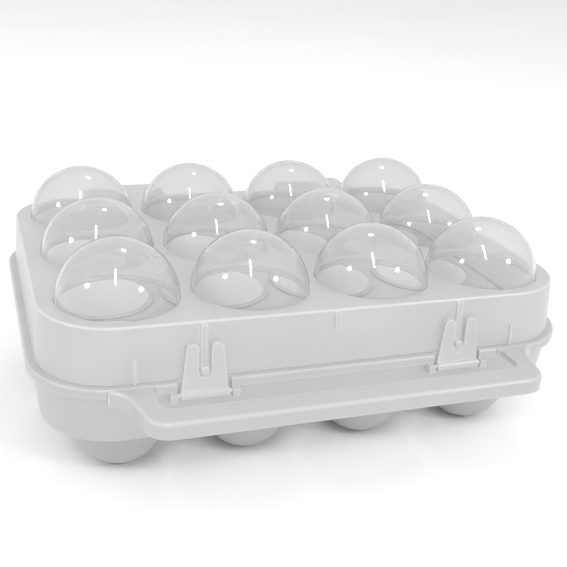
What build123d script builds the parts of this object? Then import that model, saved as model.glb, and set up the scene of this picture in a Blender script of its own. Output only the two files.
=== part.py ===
from build123d import *

import os

# A twelve-egg carrier: a hinged lid with twelve clear domes over a tray with twelve egg cups,
# held shut by two front latches and carried by a handle along the front of the tray's rim.
# Millimetres. +X along the four-cell side, +Y from the handle to the hinges, +Z up.
# The cups stand on z = 0. Everything is drawn about the middle of the shells,
# then moved along Y so that the whole carrier is centred.

# Cells
columns = 4
rows = 3
pitch_x = 52.0
pitch_y = 50.0
clear_wall = 1.2
seat_gap = 0.05

# Heights
skirt_bottom_z = 24.0
deck_z = 47.6
lid_top_z = 69.5
seam_gap = 0.3
lid_bottom_z = deck_z + seam_gap

# Plan sizes: half length, half depth and corner radius of each outline
plate_plan = (108.1, 78.2, 28.0)
lid_foot_plan = (109.5, 79.7, 29.0)
rim_plan = (112.5, 82.5, 31.5)
skirt_top_plan = (110.3, 80.3, 30.0)
skirt_foot_plan = (108.0, 78.0, 28.0)

# Walls
wall = 1.5
deck_thickness = 1.8
rim_height = 3.6
edge_round = 1.0
ridge_height = 2.2
ridge_gap = 0.6

# Domes
dome_radius = 23.6
dome_centre_z = lid_top_z - 1.1
dome_collar_radius = 24.6
collar_thickness = 1.0

# Cups: a drafted upper half over an egg-shaped lower half with a small flat foot
cup_mouth_radius = 23.0
cup_waist_radius = 21.2
cup_waist_z = 29.0
cup_knee_radius = 15.5
cup_knee_z = 8.0
cup_knee_lean = 0.85
cup_foot_radius = 5.0
cup_collar_radius = 24.4

# Hinges
latch_x = 52.0
hinge_y = 91.0
hinge_z = deck_z + seam_gap / 2
rear_reach = 98.4
bulge_half = 20.0
bulge_corner = 5.0
bulge_round = 3.0
knuckle_radius = 3.4
lid_knuckle = 5.0
web_height = 8.0
knuckle_gap = 0.4
hinge_pin_radius = 1.5
running_gap = 0.06
arm_drop = 3.1
arm_gap = 0.3
rear_notch = 4.2
panel_half = 12.0
panel_depth = 0.5
panel_border = 3.5
panel_round = 2.0

# Latches
latch_foot_half = 9.0
latch_head_half = 6.8
latch_head_z = lid_top_z - 7.2
latch_thickness = 2.0
latch_slot_half = 2.3
latch_barrel_radius = 1.9
latch_pin_radius = 0.9
latch_pin_y = -82.5
latch_pin_z = deck_z - 5.0
latch_back_low_y = -80.7
latch_back_high_y = -79.9
latch_window_half = 10.2
latch_window_y = -80.3
lug_width = 2.8
stud_radius = 1.8
stud_round = 0.6
stud_z = lid_top_z - 18.0
stud_reach = -82.9

# Ribs on the front of the lid
rib_half = 1.4
rib_reach = 1.2
centre_rib_drop = 8.0
bead_x = 77.0
bead_half = 0.6
bead_top_z = lid_top_z - 13.0

# Carrying handle
handle_root_half = 92.0
handle_waist = (80.5, -87.0)
handle_front_half = 76.5
handle_front_y = -109.0
handle_waist_round = 14.0
handle_corner_round = 9.0
handle_thickness = 2.4
handle_lip_height = 6.1
handle_lip = 2.0
handle_edge_round = 1.6
slot_half = 71.5
slot_near_y = -81.0
slot_far_y = -98.8
slot_round = 5.0

shell_y = -(handle_front_y + rear_reach) / 2
margin = 10.0


def outline(plan, inset=0.0):
    """A rounded rectangle, drawn in from the plan by the inset."""
    half_x, half_y, corner = plan
    return RectangleRounded(2 * (half_x - inset), 2 * (half_y - inset), corner - inset)


def slab(plan, low_z, high_z, inset=0.0):
    """A straight-sided slab between two heights."""
    return Pos(0, 0, low_z) * extrude(outline(plan, inset), amount=high_z - low_z)


def drafted(low_plan, low_z, high_plan, high_z, inset=0.0):
    """A slab whose outline changes evenly from one height to the other."""
    low = Pos(0, 0, low_z) * outline(low_plan, inset)
    high = Pos(0, 0, high_z) * outline(high_plan, inset)
    return loft([low, high], ruled=True)


def block(x_range, y_range, z_range):
    """A box between two corners."""
    size = [high - low for low, high in (x_range, y_range, z_range)]
    centre = [(low + high) / 2 for low, high in (x_range, y_range, z_range)]
    return Pos(*centre) * Box(*size)


def rod(radius, centre_x, half_length, y, z):
    """A round bar along X."""
    return Pos(centre_x, y, z) * Rot(0, 90, 0) * Cylinder(radius, 2 * half_length)


def cells():
    """The row, the column and the middle of every egg cell, from the front left."""
    for row in range(rows):
        for column in range(columns):
            x = (column - (columns - 1) / 2) * pitch_x
            y = (row - (rows - 1) / 2) * pitch_y
            yield row + 1, column + 1, x, y


def cell_holes(radius, low_z, high_z):
    """A round hole over every cell."""
    hole = Pos(0, 0, (low_z + high_z) / 2) * Cylinder(radius, high_z - low_z)
    return [Pos(x, y, 0) * hole for _, _, x, y in cells()]


def lid_shell():
    """The lid: a drafted shell with twelve holes, front ribs and two rear hinge housings."""
    body = drafted(lid_foot_plan, lid_bottom_z, plate_plan, lid_top_z)
    hollow = drafted(lid_foot_plan, lid_bottom_z, plate_plan, lid_top_z - wall, wall)
    shell = fillet(body.faces().sort_by(Axis.Z)[-1].edges(), edge_round) - hollow
    for side in (-1, 1):
        shell += hinge_housing(side * latch_x) - body
        shell += front_rib(side * latch_x, stud_z) - hollow
        shell += Pos(side * latch_x, 0, 0) * latch_stud() - hollow
        shell += front_bead(side * bead_x) - hollow
    shell += front_rib(0, lid_top_z - centre_rib_drop) - hollow
    return shell - cell_holes(dome_radius + seat_gap, lid_top_z - margin, lid_top_z + margin)


def housing_block(x, inset, low_z):
    """The housing's outline with rounded rear corners and a rounded top, drawn in by the inset."""
    half = bulge_half - inset
    shape = block((x - half, x + half), (plate_plan[1] - margin, rear_reach - inset), (low_z, lid_top_z - inset))
    shape = fillet(shape.edges().filter_by(Axis.Z).group_by(Axis.Y)[-1], bulge_corner - inset)
    return fillet(shape.faces().sort_by(Axis.Z)[-1].edges().sort_by(Axis.Y)[1:], bulge_round - inset)


def hinge_housing(x):
    """A hollow rounded housing behind the lid, flush with its top, with a knuckle at each end."""
    outside = housing_block(x, 0, lid_bottom_z)
    panel_z = (hinge_z + rear_notch + panel_border, lid_top_z - bulge_round - edge_round)
    panel = block((x - panel_half, x + panel_half), (rear_reach - panel_depth, rear_reach + margin), panel_z)
    shape = outside - fillet(panel.edges().filter_by(Axis.Y), panel_round)
    shape -= housing_block(x, wall, lid_bottom_z - margin)
    inner_end = bulge_half - lid_knuckle
    for side in (-1, 1):
        middle = x + side * (bulge_half - lid_knuckle / 2)
        half = lid_knuckle / 2
        web = block(
            (middle - half, middle + half),
            (plate_plan[1] - margin, rear_reach - wall),
            (lid_bottom_z, lid_bottom_z + web_height),
        )
        shape += web & outside
        shape += rod(knuckle_radius, middle, half, hinge_y, hinge_z)
    shape -= block(
        (x - inner_end, x + inner_end),
        (rear_reach - 2 * wall, rear_reach + margin),
        (lid_bottom_z - margin, hinge_z + rear_notch),
    )
    return shape - rod(hinge_pin_radius + running_gap, x, bulge_half + margin, hinge_y, hinge_z)


def front_strip(x, half_width, reach, low_z, high_z):
    """A narrow raised strip that follows the lid's drafted front wall."""
    raised = [half + reach for half in lid_foot_plan]
    raised_top = [half + reach for half in plate_plan]
    strip = drafted(raised, lid_bottom_z, raised_top, lid_top_z)
    return strip & block((x - half_width, x + half_width), (-2 * plate_plan[1], 0), (low_z, high_z))


def front_rib(x, low_z):
    """A rib from the top of the lid down its front wall."""
    return front_strip(x, rib_half, rib_reach, low_z, lid_top_z - edge_round)


def front_bead(x):
    """A thin short bead above the end of the handle's slot."""
    return front_strip(x, bead_half, rib_reach, lid_bottom_z, bead_top_z)


def latch_stud():
    """The round stud that sits in the foot of a latch's slot."""
    root_y = -plate_plan[1]
    middle = (root_y + stud_reach) / 2
    stud = Pos(0, middle, stud_z) * Rot(90, 0, 0) * Cylinder(stud_radius, root_y - stud_reach)
    return fillet(stud.faces().sort_by(Axis.Y)[0].edges(), stud_round)


def dome():
    """A thin clear half ball with a collar that seats under the lid's plate."""
    collar_top_z = lid_top_z - wall
    collar_low_z = collar_top_z - collar_thickness
    above_plate = Pos(0, 0, collar_top_z + dome_radius) * Cylinder(dome_collar_radius, 2 * dome_radius)
    shape = Pos(0, 0, dome_centre_z) * Sphere(dome_radius) & above_plate
    shape += Pos(0, 0, (collar_low_z + collar_top_z) / 2) * Cylinder(dome_collar_radius, collar_thickness)
    inner_radius = dome_radius - clear_wall
    shape -= Pos(0, 0, dome_centre_z) * Sphere(inner_radius)
    return shape - Pos(0, 0, dome_centre_z - dome_radius / 2) * Cylinder(inner_radius, dome_radius)


def cup_curve(inset):
    """The side of an egg cup's section from its foot to its mouth, drawn in by the inset."""
    foot = (cup_foot_radius, inset)
    knee = (cup_knee_radius - cup_knee_lean * inset, cup_knee_z + (1 - cup_knee_lean) * inset)
    waist = (cup_waist_radius - inset, cup_waist_z)
    mouth = (cup_mouth_radius - inset, deck_z + collar_thickness)
    flank = TangentArc(waist, knee, tangent=(0, -1))
    toe = TangentArc(knee, foot, tangent=flank % 1)
    return Line((0, inset), foot) + toe + flank + Line(waist, mouth) + Line(mouth, (0, mouth[1]))


def egg_cup():
    """A thin egg cup with a flat foot and a collar that seats on the tray's deck."""
    mouth_z = deck_z + collar_thickness
    outside = make_face(cup_curve(0) + Line((0, 0), (0, mouth_z)))
    inside = make_face(cup_curve(clear_wall) + Line((0, clear_wall), (0, mouth_z)))
    cup = revolve(Plane.XZ * outside, Axis.Z)
    cup += Pos(0, 0, deck_z + collar_thickness / 2) * Cylinder(cup_collar_radius, collar_thickness)
    return cup - revolve(Plane.XZ * inside, Axis.Z)


def base_tray():
    """The tray: a deck with twelve holes, a thick rim, a drafted skirt and the hinge arms."""
    rim_low_z = deck_z - rim_height
    tray = slab(rim_plan, rim_low_z, deck_z)
    tray = fillet(tray.edges().group_by(Axis.Z)[-1], edge_round)
    tray -= slab(skirt_top_plan, rim_low_z, deck_z - deck_thickness, wall)
    tray += drafted(skirt_foot_plan, skirt_bottom_z, skirt_top_plan, rim_low_z) - drafted(
        skirt_foot_plan, skirt_bottom_z, skirt_top_plan, rim_low_z, wall
    )
    ridge_inset = wall + ridge_gap
    ridge_top_z = deck_z + ridge_height
    ridge = slab(lid_foot_plan, deck_z, ridge_top_z, ridge_inset)
    tray += ridge - slab(lid_foot_plan, deck_z, ridge_top_z, ridge_inset + clear_wall)
    for side in (-1, 1):
        tray += hinge_arm(side * latch_x)
        tray -= latch_window(side * latch_x)
        tray += latch_lugs(side * latch_x)
    return tray - cell_holes(cup_mouth_radius + seat_gap, rim_low_z - margin, deck_z + margin)


def hinge_arm(x):
    """The tray's middle knuckle and the arm that carries it."""
    half = bulge_half - lid_knuckle - knuckle_gap
    top_z = hinge_z - arm_gap
    arm = block((x - half, x + half), (rim_plan[1] - wall, hinge_y), (top_z - arm_drop, top_z))
    arm += rod(knuckle_radius, x, half, hinge_y, hinge_z)
    return arm - rod(hinge_pin_radius, x, half + margin, hinge_y, hinge_z)


def latch_window(x):
    """The space in the rim that a latch stands in, out to the middle of the handle's slot."""
    return block(
        (x - latch_window_half, x + latch_window_half),
        ((slot_near_y + slot_far_y) / 2, latch_window_y),
        (latch_pin_z, deck_z + margin),
    )


def latch_lugs(x):
    """Two small lugs under the rim that hold a latch's pin."""
    lugs = Part()
    for side in (-1, 1):
        inner = x + side * latch_window_half
        outer = inner + side * lug_width
        lug = block(
            (min(inner, outer), max(inner, outer)),
            (latch_pin_y - latch_barrel_radius, -skirt_foot_plan[1] - wall),
            (latch_pin_z - latch_barrel_radius, deck_z - rim_height),
        )
        lugs += lug
    return lugs - rod(latch_pin_radius, x, latch_window_half + margin, latch_pin_y, latch_pin_z)


def latch():
    """A tapered snap latch: two rounded prongs on each side of an open slot."""
    foot_z = latch_pin_z
    side_view = Polyline(
        (latch_back_low_y, foot_z),
        (latch_back_high_y, latch_head_z),
        (latch_back_high_y - latch_thickness, latch_head_z),
        (latch_back_low_y - latch_thickness, foot_z),
        close=True,
    )
    plate = extrude(Plane.YZ * make_face(side_view), amount=latch_foot_half, both=True)
    front_view = Polygon(
        (-latch_foot_half, foot_z),
        (latch_foot_half, foot_z),
        (latch_head_half, latch_head_z),
        (-latch_head_half, latch_head_z),
        align=None,
    )
    slot_middle_z = (stud_z + latch_head_z + margin) / 2
    slot_height = latch_head_z + margin - stud_z
    front_view -= Pos(0, slot_middle_z) * Rectangle(2 * latch_slot_half, slot_height)
    front_view -= Pos(0, stud_z) * Circle(latch_slot_half)
    prong_tips = front_view.vertices().group_by(Axis.Y)[-1]
    front_view = fillet(prong_tips, (latch_head_half - latch_slot_half) / 2 - seat_gap)
    plate &= extrude(Plane.XZ * front_view, amount=-handle_front_y, both=True)
    plate += rod(latch_barrel_radius, 0, latch_foot_half, latch_pin_y, latch_pin_z)
    return plate - rod(latch_pin_radius + running_gap, 0, margin, latch_pin_y, latch_pin_z)


def carry_handle():
    """A flat handle with a down-turned lip, joined to the front of the rim by curved arms."""
    waist_x, waist_y = handle_waist
    root_y = -plate_plan[1]
    plan = Polygon(
        (-handle_root_half, root_y),
        (-waist_x, waist_y),
        (-handle_front_half, handle_front_y),
        (handle_front_half, handle_front_y),
        (waist_x, waist_y),
        (handle_root_half, root_y),
        align=None,
    )
    front_corners = plan.vertices().group_by(Axis.Y)[0]
    plan = fillet(front_corners, handle_corner_round)
    waist_corners = [v for v in plan.vertices() if abs(v.Y - waist_y) < seat_gap]
    plan = fillet(waist_corners, handle_waist_round)
    low_z = deck_z - handle_lip_height
    bar = Pos(0, 0, low_z) * extrude(plan, amount=handle_lip_height)
    bar = fillet(bar.edges().group_by(Axis.Z)[-1], handle_edge_round)
    channel = offset(plan, -handle_lip)
    bar -= Pos(0, 0, low_z) * extrude(channel, amount=handle_lip_height - handle_thickness)
    slot_depth = slot_near_y - slot_far_y
    slot = RectangleRounded(2 * slot_half, slot_depth, slot_round)
    bar -= Pos(0, slot_far_y + slot_depth / 2, 0) * extrude(slot, amount=lid_top_z)
    bar -= slab(rim_plan, 0, lid_top_z)
    for side in (-1, 1):
        bar -= latch_window(side * latch_x)
    return bar


def hinge_pin():
    return rod(hinge_pin_radius, 0, bulge_half - knuckle_gap, hinge_y, hinge_z)


def latch_pin():
    half = latch_window_half + lug_width
    return rod(latch_pin_radius, 0, half, latch_pin_y, latch_pin_z)


def build():
    """Every node's shape, by name."""
    shapes = {"lid_shell": lid_shell(), "base_tray": base_tray(), "carry_handle": carry_handle()}
    one_dome = dome()
    one_cup = egg_cup()
    for row, column, x, y in cells():
        shapes[f"dome_r{row}c{column}"] = Pos(x, y, 0) * one_dome
        shapes[f"egg_cup_r{row}c{column}"] = Pos(x, y, 0) * one_cup
    for name, x in (("left", -latch_x), ("right", latch_x)):
        shapes[f"latch_{name}"] = Pos(x, 0, 0) * latch()
        shapes[f"latch_pin_{name}"] = Pos(x, 0, 0) * latch_pin()
        shapes[f"hinge_pin_{name}"] = Pos(x, 0, 0) * hinge_pin()
    return shapes


os.makedirs("parts", exist_ok=True)
for node, shape in build().items():
    export_step(Pos(0, shell_y, 0) * shape, f"parts/{node}.step")
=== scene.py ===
import math

import bmesh
import bpy
from mathutils import Matrix, Quaternion, Vector


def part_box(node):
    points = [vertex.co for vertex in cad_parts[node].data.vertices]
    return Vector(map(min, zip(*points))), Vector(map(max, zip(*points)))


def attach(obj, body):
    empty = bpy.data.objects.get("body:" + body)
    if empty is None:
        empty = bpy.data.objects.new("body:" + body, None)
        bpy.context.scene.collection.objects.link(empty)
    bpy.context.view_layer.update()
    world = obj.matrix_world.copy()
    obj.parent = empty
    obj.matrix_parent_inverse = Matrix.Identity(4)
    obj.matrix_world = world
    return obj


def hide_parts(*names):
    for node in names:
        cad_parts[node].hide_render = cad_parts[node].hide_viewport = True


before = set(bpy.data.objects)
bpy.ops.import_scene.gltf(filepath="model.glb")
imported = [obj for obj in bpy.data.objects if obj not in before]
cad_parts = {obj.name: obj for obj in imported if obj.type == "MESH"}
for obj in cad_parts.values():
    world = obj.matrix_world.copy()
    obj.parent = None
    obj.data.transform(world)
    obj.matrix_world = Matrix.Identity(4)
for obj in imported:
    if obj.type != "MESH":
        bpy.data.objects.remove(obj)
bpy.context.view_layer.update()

# Sizes that the domes and cups share with the CAD, in metres
ROWS = 3
COLUMNS = 4
DOME_RADIUS = 0.0236
CLEAR_WALL = 0.0012
COLLAR_THICKNESS = 0.0010
CUP_MOUTH_RADIUS = 0.0230
CUP_WAIST = (0.0212, 0.0290)
CUP_KNEE = (0.0155, 0.0080)
CUP_KNEE_LEAN = 0.85
CUP_FOOT_RADIUS = 0.0050

# Small bevels on the rims of the collars
DOME_LIP = 0.0002
CUP_LIP = 0.0003

# How finely the domes and cups are turned
TURN_STEPS = 112
ARC_STEPS = 40
ON_AXIS = 1e-6

# The line that the lid's walls follow: half length, half depth and corner radius
LID_WALL_PLAN = (0.1083, 0.0784, 0.0283)

# Grey of the lid's inner walls, painted light standing in for light shining through the plastic, and of the
# painted highlight on an edge as a multiple of the tone beside it
INNER_WALL_PAINTED_GLOW = 0.74
EDGE_HIGHLIGHT_GAIN = 1.3

# A face counts as upright while its normal rises or falls by less than this
UPRIGHT_BELOW = 0.7

# Edges of the moulded plastic: how far they are rounded, and how far in they get a pale painted highlight
EDGE_ROUNDING = 0.0006
EDGE_HIGHLIGHT_WIDTH = 0.0016

# Frosted plastic: its darkest and palest clouds as multiples of its tone, and its thin coat
CLOUD_DARK = 0.965
CLOUD_PALE = 1.03
COAT_WEIGHT = 0.35
COAT_ROUGHNESS = 0.16

# Clear plastic: its darkest clouds as a multiple of its tone
MILKY_DARK = 0.98

PLASTIC_IOR = 1.49

# Backdrop: half width, where the floor starts and bends up, the bend's radius and its height
FLOOR_HALF_WIDTH = 4.0
FLOOR_FRONT = -4.0
FLOOR_BEND = 3.0
BEND_RADIUS = 1.0
BEND_STEPS = 12
BACKDROP_TOP = 3.0
FLOOR_DROP = 0.0002
FLOOR_TONES = (0.90, 0.92)

# Soft white light from all round
FILL_STRENGTH = 0.92

# Camera: yaw, pitch and roll in degrees, and its place from the middle of the lid's top in metres
CAMERA_TURN = (20.64, 22.18, 3.78)
CAMERA_PLACE = (-0.1267, -0.3543, 0.1325)
CAMERA_LENS = 55.9
CAMERA_SENSOR = 36.0


# Mesh helpers


def arc(centre, radius, start, end, steps):
    """Points (radius, height) along a circle's arc, angles in degrees."""
    points = []
    for step in range(steps + 1):
        angle = math.radians(start + (end - start) * step / steps)
        points.append((centre[0] + radius * math.cos(angle), centre[1] + radius * math.sin(angle)))
    return points


def tangent_arc(start, direction, end, steps):
    """Points along the arc that leaves start in that direction and ends at end, and its last direction."""
    sx, sz = start
    ex, ez = end
    dx, dz = direction
    normal = (-dz, dx)
    chord = (ex - sx, ez - sz)
    radius = (chord[0] ** 2 + chord[1] ** 2) / (2 * (chord[0] * normal[0] + chord[1] * normal[1]))
    cx, cz = sx + radius * normal[0], sz + radius * normal[1]
    first = math.atan2(sz - cz, sx - cx)
    last = math.atan2(ez - cz, ex - cx)
    turn = (last - first + math.pi) % (2 * math.pi) - math.pi
    points = []
    for step in range(1, steps + 1):
        angle = first + turn * step / steps
        points.append((cx + abs(radius) * math.cos(angle), cz + abs(radius) * math.sin(angle)))
    sign = 1 if turn > 0 else -1
    return points, (-math.sin(last) * sign, math.cos(last) * sign)


def lathe(name, profile, middle):
    """A closed smooth solid turned from (radius, height) points about an upright axis at middle."""
    mesh = bmesh.new()
    rings = []
    for radius, height in profile:
        if radius < ON_AXIS:
            rings.append([mesh.verts.new((middle[0], middle[1], height))])
            continue
        ring = []
        for step in range(TURN_STEPS):
            angle = 2 * math.pi * step / TURN_STEPS
            x = middle[0] + radius * math.cos(angle)
            y = middle[1] + radius * math.sin(angle)
            ring.append(mesh.verts.new((x, y, height)))
        rings.append(ring)
    for lower, upper in zip(rings, rings[1:] + rings[:1]):
        if len(lower) == 1 and len(upper) == 1:
            continue
        for step in range(TURN_STEPS):
            after = (step + 1) % TURN_STEPS
            corners = [lower[step % len(lower)], lower[after % len(lower)]]
            corners += [upper[after % len(upper)], upper[step % len(upper)]]
            mesh.faces.new(list(dict.fromkeys(corners)))
    bmesh.ops.recalc_face_normals(mesh, faces=mesh.faces)
    return piece_from(name, mesh)


def piece_from(name, mesh, smooth_below=35.0):
    """A new object from a bmesh, smooth except at edges sharper than the given angle."""
    data = bpy.data.meshes.new(name)
    mesh.to_mesh(data)
    mesh.free()
    data.shade_smooth()
    data.set_sharp_from_angle(angle=math.radians(smooth_below))
    made = bpy.data.objects.new(name, data)
    bpy.context.scene.collection.objects.link(made)
    return made


# Material helpers


class Nodes:
    """A material's node tree, with short calls to add nodes and join them."""

    def __init__(self, name):
        self.material = bpy.data.materials.new(name)
        self.material.use_nodes = True
        self.tree = self.material.node_tree
        self.shader = self.tree.nodes["Principled BSDF"]
        self.coordinates = self.add("ShaderNodeTexCoord")
        self.place = self.coordinates.outputs["Object"]

    def add(self, kind, **settings):
        node = self.tree.nodes.new(kind)
        for key, value in settings.items():
            setattr(node, key, value)
        return node

    def join(self, output, target):
        self.tree.links.new(output, target)

    def noise(self, scale, detail=3.0, roughness=0.55):
        """Smooth noise over the piece, mostly between 0.3 and 0.7."""
        node = self.add("ShaderNodeTexNoise")
        node.inputs["Scale"].default_value = scale
        node.inputs["Detail"].default_value = detail
        node.inputs["Roughness"].default_value = roughness
        self.join(self.place, node.inputs["Vector"])
        return node.outputs["Fac"]

    def spread(self, value, low, high, start=0.3, end=0.7):
        """The value, remapped from between start and end to between low and high."""
        node = self.add("ShaderNodeMapRange")
        node.inputs["From Min"].default_value = start
        node.inputs["From Max"].default_value = end
        node.inputs["To Min"].default_value = low
        node.inputs["To Max"].default_value = high
        self.join(value, node.inputs["Value"])
        return node.outputs["Result"]

    def blend(self, factor, first, second):
        """A colour between two greys or colours, by the factor."""
        node = self.add("ShaderNodeMix", data_type="RGBA")
        self.join(factor, node.inputs["Factor"])
        # The node's colour sockets share their names with its others, so they are taken by number
        first_colour, second_colour, mixed_colour = node.inputs[6], node.inputs[7], node.outputs[2]
        for socket, colour in ((first_colour, first), (second_colour, second)):
            if isinstance(colour, tuple):
                socket.default_value = (*colour, 1.0)
            else:
                self.join(colour, socket)
        return mixed_colour

    def bump(self, height, strength, distance, under=None):
        """A normal bumped by the height, over the normal under it."""
        node = self.add("ShaderNodeBump")
        node.inputs["Strength"].default_value = strength
        node.inputs["Distance"].default_value = distance
        self.join(height, node.inputs["Height"])
        if under is not None:
            self.join(under, node.inputs["Normal"])
        return node.outputs["Normal"]

    def let_light_through(self, share):
        """This share of lamp light and of soft light reaches what is behind each face."""
        tinted = self.add("ShaderNodeBsdfTransparent")
        tinted.inputs["Color"].default_value = (share, share, share, 1.0)
        path = self.add("ShaderNodeLightPath")
        shown = self.shader.outputs["BSDF"]
        for ray in ("Is Shadow Ray", "Is Diffuse Ray"):
            choice = self.add("ShaderNodeMixShader")
            self.join(path.outputs[ray], choice.inputs["Fac"])
            self.join(shown, choice.inputs[1])
            self.join(tinted.outputs["BSDF"], choice.inputs[2])
            shown = choice.outputs["Shader"]
        self.join(shown, self.tree.nodes["Material Output"].inputs["Surface"])

    def bevel(self, radius, samples):
        """The normal of the surface with its sharp edges rounded to this radius."""
        node = self.add("ShaderNodeBevel", samples=samples)
        node.inputs["Radius"].default_value = radius
        return node.outputs["Normal"]

    def edge_mask(self, radius):
        """1 on a sharp edge, and 0 further from it than the radius."""
        flat = self.add("ShaderNodeNewGeometry").outputs["Normal"]
        agreement = self.vector("DOT_PRODUCT", self.bevel(radius, samples=8), flat).outputs["Value"]
        return self.spread(agreement, low=1.0, high=0.0, start=0.80, end=0.98)

    def math(self, operation, first, second=0.0):
        """One arithmetic step on one or two values, any of which may be a plain number."""
        node = self.add("ShaderNodeMath", operation=operation)
        for socket, value in zip(node.inputs, (first, second)):
            if isinstance(value, float):
                socket.default_value = value
            else:
                self.join(value, socket)
        return node.outputs["Value"]

    # Marks where the painted highlight on rounded shoulders goes
    def shoulder_highlight_mask(self):
        """1 where the piece slopes at 45 degrees, as on a rounded shoulder; 0 where level or upright."""
        split = self.add("ShaderNodeSeparateXYZ")
        self.join(self.coordinates.outputs["Normal"], split.inputs["Vector"])
        level = self.math("POWER", self.math("ABSOLUTE", split.outputs["Z"]), 2.0)
        upright = self.math("SUBTRACT", 1.0, level)
        # The product of the two is a quarter at 45 degrees
        return self.math("MULTIPLY", self.math("MULTIPLY", level, upright), 4.0)

    def vector(self, operation, *values):
        """A vector maths node on outputs or plain vectors."""
        node = self.add("ShaderNodeVectorMath", operation=operation)
        for socket, value in zip(node.inputs, values):
            if isinstance(value, tuple):
                socket.default_value = value
            else:
                self.join(value, socket)
        return node

    # Marks where the lid's inner walls get painted light, standing in for light shining through the frosted
    # plastic
    def inner_walls(self, size, offset, plan):
        """1 on the upright inner faces of a shell whose walls follow the rounded rectangle; else 0.

        The size and offset turn the piece's own 0 to 1 coordinates into metres from the shell's middle."""
        half_x, half_y, corner = plan
        generated = self.coordinates.outputs["Generated"]
        normal = self.coordinates.outputs["Normal"]
        place = self.vector("MULTIPLY_ADD", generated, size, offset).outputs["Vector"]
        spread_out = self.vector("ABSOLUTE", place).outputs["Vector"]
        # Taking 1 m from the height leaves it out of the distance
        past_corner = self.vector("SUBTRACT", spread_out, (half_x - corner, half_y - corner, 1.0))
        past_corner = self.vector("MAXIMUM", past_corner.outputs["Vector"], (0.0, 0.0, 0.0))
        distance = self.vector("LENGTH", past_corner.outputs["Vector"]).outputs["Value"]
        within = self.math("LESS_THAN", distance, corner)
        outward = self.vector("DOT_PRODUCT", place, normal).outputs["Value"]
        inward = self.math("LESS_THAN", outward, 0.0)
        split = self.add("ShaderNodeSeparateXYZ")
        self.join(normal, split.inputs["Vector"])
        upright = self.math("LESS_THAN", self.math("ABSOLUTE", split.outputs["Z"]), UPRIGHT_BELOW)
        return self.math("MULTIPLY", self.math("MULTIPLY", within, inward), upright)


def grey(value):
    """A neutral colour."""
    return (value, value, value)


def frosted(name, tone, transmission, share=0.0, shoulders=0.0, inner=None):
    """Moulded frosted plastic: cloudy tone, fine grain, faint handling scuffs and a pale painted highlight
    on its edges.

    The share of light goes through to what is behind. The shoulders are how pale the painted highlight on
    rounded shoulders is, and inner is what inner_walls needs on a shell whose inner walls get a paler grey,
    painted light for light shining through them."""
    nodes = Nodes(name)
    shader = nodes.shader
    rounded = nodes.bevel(EDGE_ROUNDING, samples=6)
    # Painted highlight: sharp edges are painted paler, standing in for light catching their rounding
    painted_highlight = nodes.edge_mask(EDGE_HIGHLIGHT_WIDTH)
    # Painted highlight also on shoulders sloping at 45 degrees, as pale as the shoulders share says
    if shoulders > 0:
        painted_highlight = nodes.math("MAXIMUM", painted_highlight, nodes.math("MULTIPLY", nodes.shoulder_highlight_mask(), shoulders))
    cloud = nodes.spread(nodes.noise(scale=22.0, detail=4.0), low=0.0, high=1.0)
    body = nodes.blend(cloud, grey(tone * CLOUD_DARK), grey(tone * CLOUD_PALE))
    colour = nodes.blend(painted_highlight, body, grey(min(1.0, tone * EDGE_HIGHLIGHT_GAIN)))
    # Painted light: the inner walls are painted a paler grey, standing in for light shining through them
    if inner:
        colour = nodes.blend(nodes.inner_walls(*inner), colour, grey(INNER_WALL_PAINTED_GLOW))
    nodes.join(colour, shader.inputs["Base Color"])
    scuffs = nodes.noise(scale=160.0, detail=6.0, roughness=0.7)
    nodes.join(nodes.spread(scuffs, low=0.32, high=0.46), shader.inputs["Roughness"])
    wavy = nodes.noise(scale=35.0, detail=2.0)
    waves = nodes.bump(wavy, strength=0.10, distance=0.0010, under=rounded)
    fine = nodes.noise(scale=2600.0, detail=2.0)
    grain = nodes.bump(fine, strength=0.03, distance=0.00002, under=waves)
    nodes.join(grain, shader.inputs["Normal"])
    nodes.join(rounded, shader.inputs["Coat Normal"])
    shader.inputs["Coat Weight"].default_value = COAT_WEIGHT
    shader.inputs["Coat Roughness"].default_value = COAT_ROUGHNESS
    shader.inputs["Transmission Weight"].default_value = transmission
    shader.inputs["IOR"].default_value = PLASTIC_IOR
    if share > 0:
        nodes.let_light_through(share)
    return nodes.material


def clear(name, tone, rim_tone, clarity, scuff_roughness):
    """Clear plastic, a little milky: darker where seen edge on, with soft ripples and a few hazy scuffs."""
    nodes = Nodes(name)
    shader = nodes.shader
    cloud = nodes.spread(nodes.noise(scale=30.0), low=0.0, high=1.0)
    body = nodes.blend(cloud, grey(tone * MILKY_DARK), grey(tone))
    facing = nodes.add("ShaderNodeLayerWeight").outputs["Facing"]
    edge_on = nodes.spread(facing, low=0.0, high=1.0, start=0.72, end=0.96)
    nodes.join(nodes.blend(edge_on, body, grey(rim_tone)), shader.inputs["Base Color"])
    scuffs = nodes.noise(scale=90.0, detail=6.0, roughness=0.7)
    hazy = nodes.spread(scuffs, low=0.0, high=scuff_roughness, start=0.5, end=0.8)
    nodes.join(hazy, shader.inputs["Roughness"])
    ripple = nodes.bump(nodes.noise(scale=55.0, detail=2.0), strength=0.08, distance=0.0008)
    nodes.join(ripple, shader.inputs["Normal"])
    shader.inputs["Transmission Weight"].default_value = clarity
    shader.inputs["IOR"].default_value = PLASTIC_IOR
    # The Principled shader tints each face by the root of the colour, and this does the same
    nodes.let_light_through(math.sqrt(tone))
    return nodes.material


def paint(piece, material):
    """Gives the whole piece one material."""
    piece.data.materials.clear()
    piece.data.materials.append(material)


# Domes and cups


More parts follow.
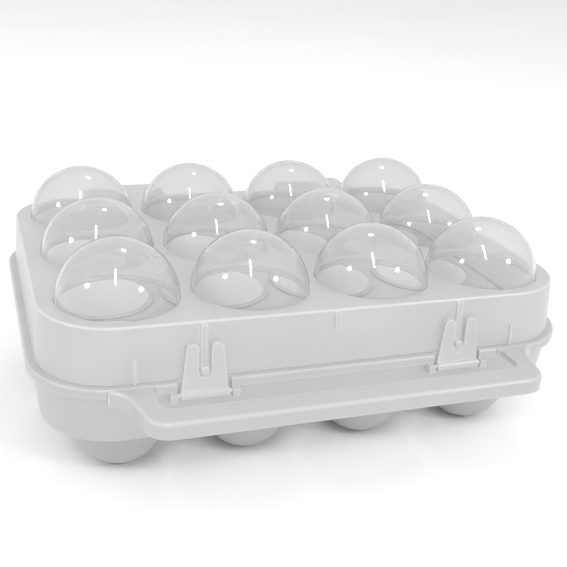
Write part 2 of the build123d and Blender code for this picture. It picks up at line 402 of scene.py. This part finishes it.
def dome_profile(low_z, top_z, collar_radius):
    """The closed section of a dome: outer ball, seat flare, collar and inner ball."""
    middle_z = top_z - DOME_RADIUS
    collar_top = low_z + COLLAR_THICKNESS
    inner = DOME_RADIUS - CLEAR_WALL
    outside = arc((0, middle_z), DOME_RADIUS, start=90, end=1, steps=ARC_STEPS)
    outside[0] = (0, top_z)
    collar = [(DOME_RADIUS, collar_top), (collar_radius - DOME_LIP, collar_top)]
    collar += [(collar_radius, collar_top - DOME_LIP), (collar_radius, low_z + DOME_LIP)]
    collar += [(collar_radius - DOME_LIP, low_z), (inner + DOME_LIP, low_z), (inner, low_z + DOME_LIP)]
    inside = arc((0, middle_z), inner, start=0, end=90, steps=ARC_STEPS)
    inside[-1] = (0, middle_z + inner)
    return outside + collar + inside


def cup_side(inset, deck_z):
    """The side of a cup from its mouth to its foot, drawn in by the inset."""
    mouth = (CUP_MOUTH_RADIUS - inset, deck_z)
    waist = (CUP_WAIST[0] - inset, CUP_WAIST[1])
    knee = (CUP_KNEE[0] - CUP_KNEE_LEAN * inset, CUP_KNEE[1] + (1 - CUP_KNEE_LEAN) * inset)
    foot = (CUP_FOOT_RADIUS, inset)
    flank, direction = tangent_arc(waist, (0, -1), knee, ARC_STEPS)
    toe, _ = tangent_arc(knee, direction, foot, ARC_STEPS // 2)
    return [mouth, waist] + flank + toe


def cup_profile(top_z, collar_radius):
    """The closed section of a cup: foot, outer side, collar and inner side."""
    deck_z = top_z - COLLAR_THICKNESS
    outside = cup_side(0.0, deck_z)
    inside = cup_side(CLEAR_WALL, top_z)
    profile = [(0, 0)] + list(reversed(outside))
    profile += [(collar_radius - CUP_LIP, deck_z), (collar_radius, deck_z + CUP_LIP)]
    profile += [(collar_radius, top_z - CUP_LIP), (collar_radius - CUP_LIP, top_z)]
    profile += inside
    return profile + [(0, CLEAR_WALL)]


def make_dome(place, material):
    """One clear dome on the lid, in place of its CAD node."""
    low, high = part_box(f"dome_{place}")
    profile = dome_profile(low.z, high.z, (high.x - low.x) / 2)
    dome = lathe(f"clear_dome_{place}", profile, (low + high) / 2)
    paint(dome, material)
    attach(dome, "lid")
    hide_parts(f"dome_{place}")


def make_cup(place, material, painted_light_material):
    """One egg cup in the tray, in place of its CAD node. Its inner faces get the pale material, painted
    light for light falling in through the dome, and the rest the dark one, painted shade.
    """
    low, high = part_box(f"egg_cup_{place}")
    middle = (low + high) / 2
    cup = lathe(f"moulded_cup_{place}", cup_profile(high.z, (high.x - low.x) / 2), middle)
    paint(cup, material)
    cup.data.materials.append(painted_light_material)
    # Faces that look towards the mouth get the painted light
    mouth = Vector((middle.x, middle.y, high.z))
    for face in cup.data.polygons:
        if face.normal.dot(mouth - face.center) > 0:
            face.material_index = 1
    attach(cup, "tray")
    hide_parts(f"egg_cup_{place}")


# Stage


def floor():
    """A pale floor that curves up into a backdrop far behind."""
    profile = [(FLOOR_FRONT, 0.0), (FLOOR_BEND, 0.0)]
    for step in range(1, BEND_STEPS + 1):
        angle = step * math.pi / 2 / BEND_STEPS
        rise = BEND_RADIUS * (1 - math.cos(angle))
        profile.append((FLOOR_BEND + BEND_RADIUS * math.sin(angle), rise))
    profile.append((FLOOR_BEND + BEND_RADIUS, BACKDROP_TOP))
    mesh = bmesh.new()
    rows = []
    for x in (-FLOOR_HALF_WIDTH, FLOOR_HALF_WIDTH):
        rows.append([mesh.verts.new((x, y, z)) for y, z in profile])
    for step in range(len(profile) - 1):
        mesh.faces.new((rows[0][step], rows[1][step], rows[1][step + 1], rows[0][step + 1]))
    bmesh.ops.recalc_face_normals(mesh, faces=mesh.faces)
    made = piece_from("floor", mesh, smooth_below=60.0)
    made.location.z = -FLOOR_DROP
    nodes = Nodes("floor_paper")
    cloud = nodes.spread(nodes.noise(scale=3.0), low=0.0, high=1.0)
    darkest, palest = FLOOR_TONES
    nodes.join(nodes.blend(cloud, grey(darkest), grey(palest)), nodes.shader.inputs["Base Color"])
    rough = nodes.spread(nodes.noise(scale=60.0), low=0.75, high=0.9)
    nodes.join(rough, nodes.shader.inputs["Roughness"])
    paint(made, nodes.material)


def area_light(name, target, azimuth, elevation, distance, size, power, length=None, turn=0.0):
    """A light aimed at the target: a disc, or a strip when it has a length, turned about its own axis.

    Azimuth 0 is in front, along -Y, and 90 is to the right."""
    data = bpy.data.lights.new(name, "AREA")
    data.shape = "RECTANGLE" if length else "DISK"
    data.size = size
    if length:
        data.size_y = length
    data.energy = power
    light = bpy.data.objects.new(name, data)
    bpy.context.scene.collection.objects.link(light)
    az, el = math.radians(azimuth), math.radians(elevation)
    away = Vector((math.sin(az) * math.cos(el), -math.cos(az) * math.cos(el), math.sin(el)))
    light.location = target + distance * away
    aim = away.to_track_quat("Z", "Y") @ Quaternion((0.0, 0.0, 1.0), math.radians(turn))
    light.rotation_euler = aim.to_euler()


def lights(target):
    """Two small key lights, a slim strip overhead, a small top light and soft fill all round."""
    area_light("key_left", target, azimuth=-76, elevation=30, distance=1.6, size=0.24, power=3.6)
    area_light("key_right", target, azimuth=38, elevation=31, distance=1.6, size=0.24, power=4.4)
    area_light(
        "strip", target, azimuth=-20, elevation=60, distance=1.5, size=0.09, power=5.0, length=0.85, turn=9.0
    )
    area_light("top", target, azimuth=160, elevation=60, distance=1.6, size=0.18, power=2.0)
    world = bpy.data.worlds.new("studio")
    world.use_nodes = True
    background = world.node_tree.nodes["Background"]
    background.inputs["Color"].default_value = (1.0, 1.0, 1.0, 1.0)
    background.inputs["Strength"].default_value = FILL_STRENGTH
    bpy.context.scene.world = world


def camera(lid_top):
    """The camera at the front left, above the lid, with a slight roll."""
    yaw, pitch, roll = (math.radians(angle) for angle in CAMERA_TURN)
    forward = Vector((math.sin(yaw) * math.cos(pitch), math.cos(yaw) * math.cos(pitch), -math.sin(pitch)))
    level = Vector((math.cos(yaw), -math.sin(yaw), 0.0))
    upright = level.cross(forward)
    right = math.cos(roll) * level + math.sin(roll) * upright
    up = -math.sin(roll) * level + math.cos(roll) * upright
    data = bpy.data.cameras.new("camera")
    data.sensor_width = CAMERA_SENSOR
    data.lens = CAMERA_LENS
    data.clip_start = 0.01
    view = bpy.data.objects.new("camera", data)
    turn = Matrix((right, up, -forward)).transposed().to_4x4()
    view.matrix_world = Matrix.Translation(lid_top + Vector(CAMERA_PLACE)) @ turn
    bpy.context.scene.collection.objects.link(view)
    bpy.context.scene.camera = view


# The whole scene

lid_low, lid_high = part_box("lid_shell")
dome_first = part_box("dome_r1c1")
dome_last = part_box("dome_r3c4")
shell_middle = (dome_first[0] + dome_last[1]) / 2
lid_top = Vector((shell_middle.x, shell_middle.y, lid_high.z))

lid_size = lid_high - lid_low
lid_offset = lid_low - Vector((shell_middle.x, shell_middle.y, (lid_low.z + lid_high.z) / 2))
# The lid's inner walls get painted light, standing in for light shining through the plastic
lid_inner = (tuple(lid_size), tuple(lid_offset), LID_WALL_PLAN)

lid_plastic = frosted("frosted_lid", 0.51, transmission=0.15, share=0.92, shoulders=0.85, inner=lid_inner)
tray_plastic = frosted("frosted_tray", 0.48, transmission=0.15, share=0.92, shoulders=0.45)
latch_plastic = frosted("frosted_latch", 0.52, transmission=0.15, share=0.92)
pin_plastic = frosted("moulded_pin", 0.58, transmission=0.1)
dome_plastic = clear("clear_dome", 0.84, rim_tone=0.30, clarity=0.85, scuff_roughness=0.06)
# Two copies of one cup plastic: a dark one outside, painted shade under the tray, and a pale one inside,
# painted light falling in through the dome
shaded_cup_plastic = frosted("cup_outside_painted_shade", 0.43, transmission=0.1)
lit_bowl_plastic = frosted("cup_inside_painted_light", 0.88, transmission=0.05)

for row in range(1, ROWS + 1):
    for column in range(1, COLUMNS + 1):
        make_dome(f"r{row}c{column}", dome_plastic)
        make_cup(f"r{row}c{column}", shaded_cup_plastic, lit_bowl_plastic)
for node, material in {
    "lid_shell": lid_plastic,
    "base_tray": tray_plastic,
    "carry_handle": tray_plastic,
    "latch_left": latch_plastic,
    "latch_right": latch_plastic,
    "latch_pin_left": pin_plastic,
    "latch_pin_right": pin_plastic,
    "hinge_pin_left": pin_plastic,
    "hinge_pin_right": pin_plastic,
}.items():
    paint(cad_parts[node], material)

floor()
lights(lid_top)
camera(lid_top)
bpy.context.scene.view_settings.view_transform = "Standard"
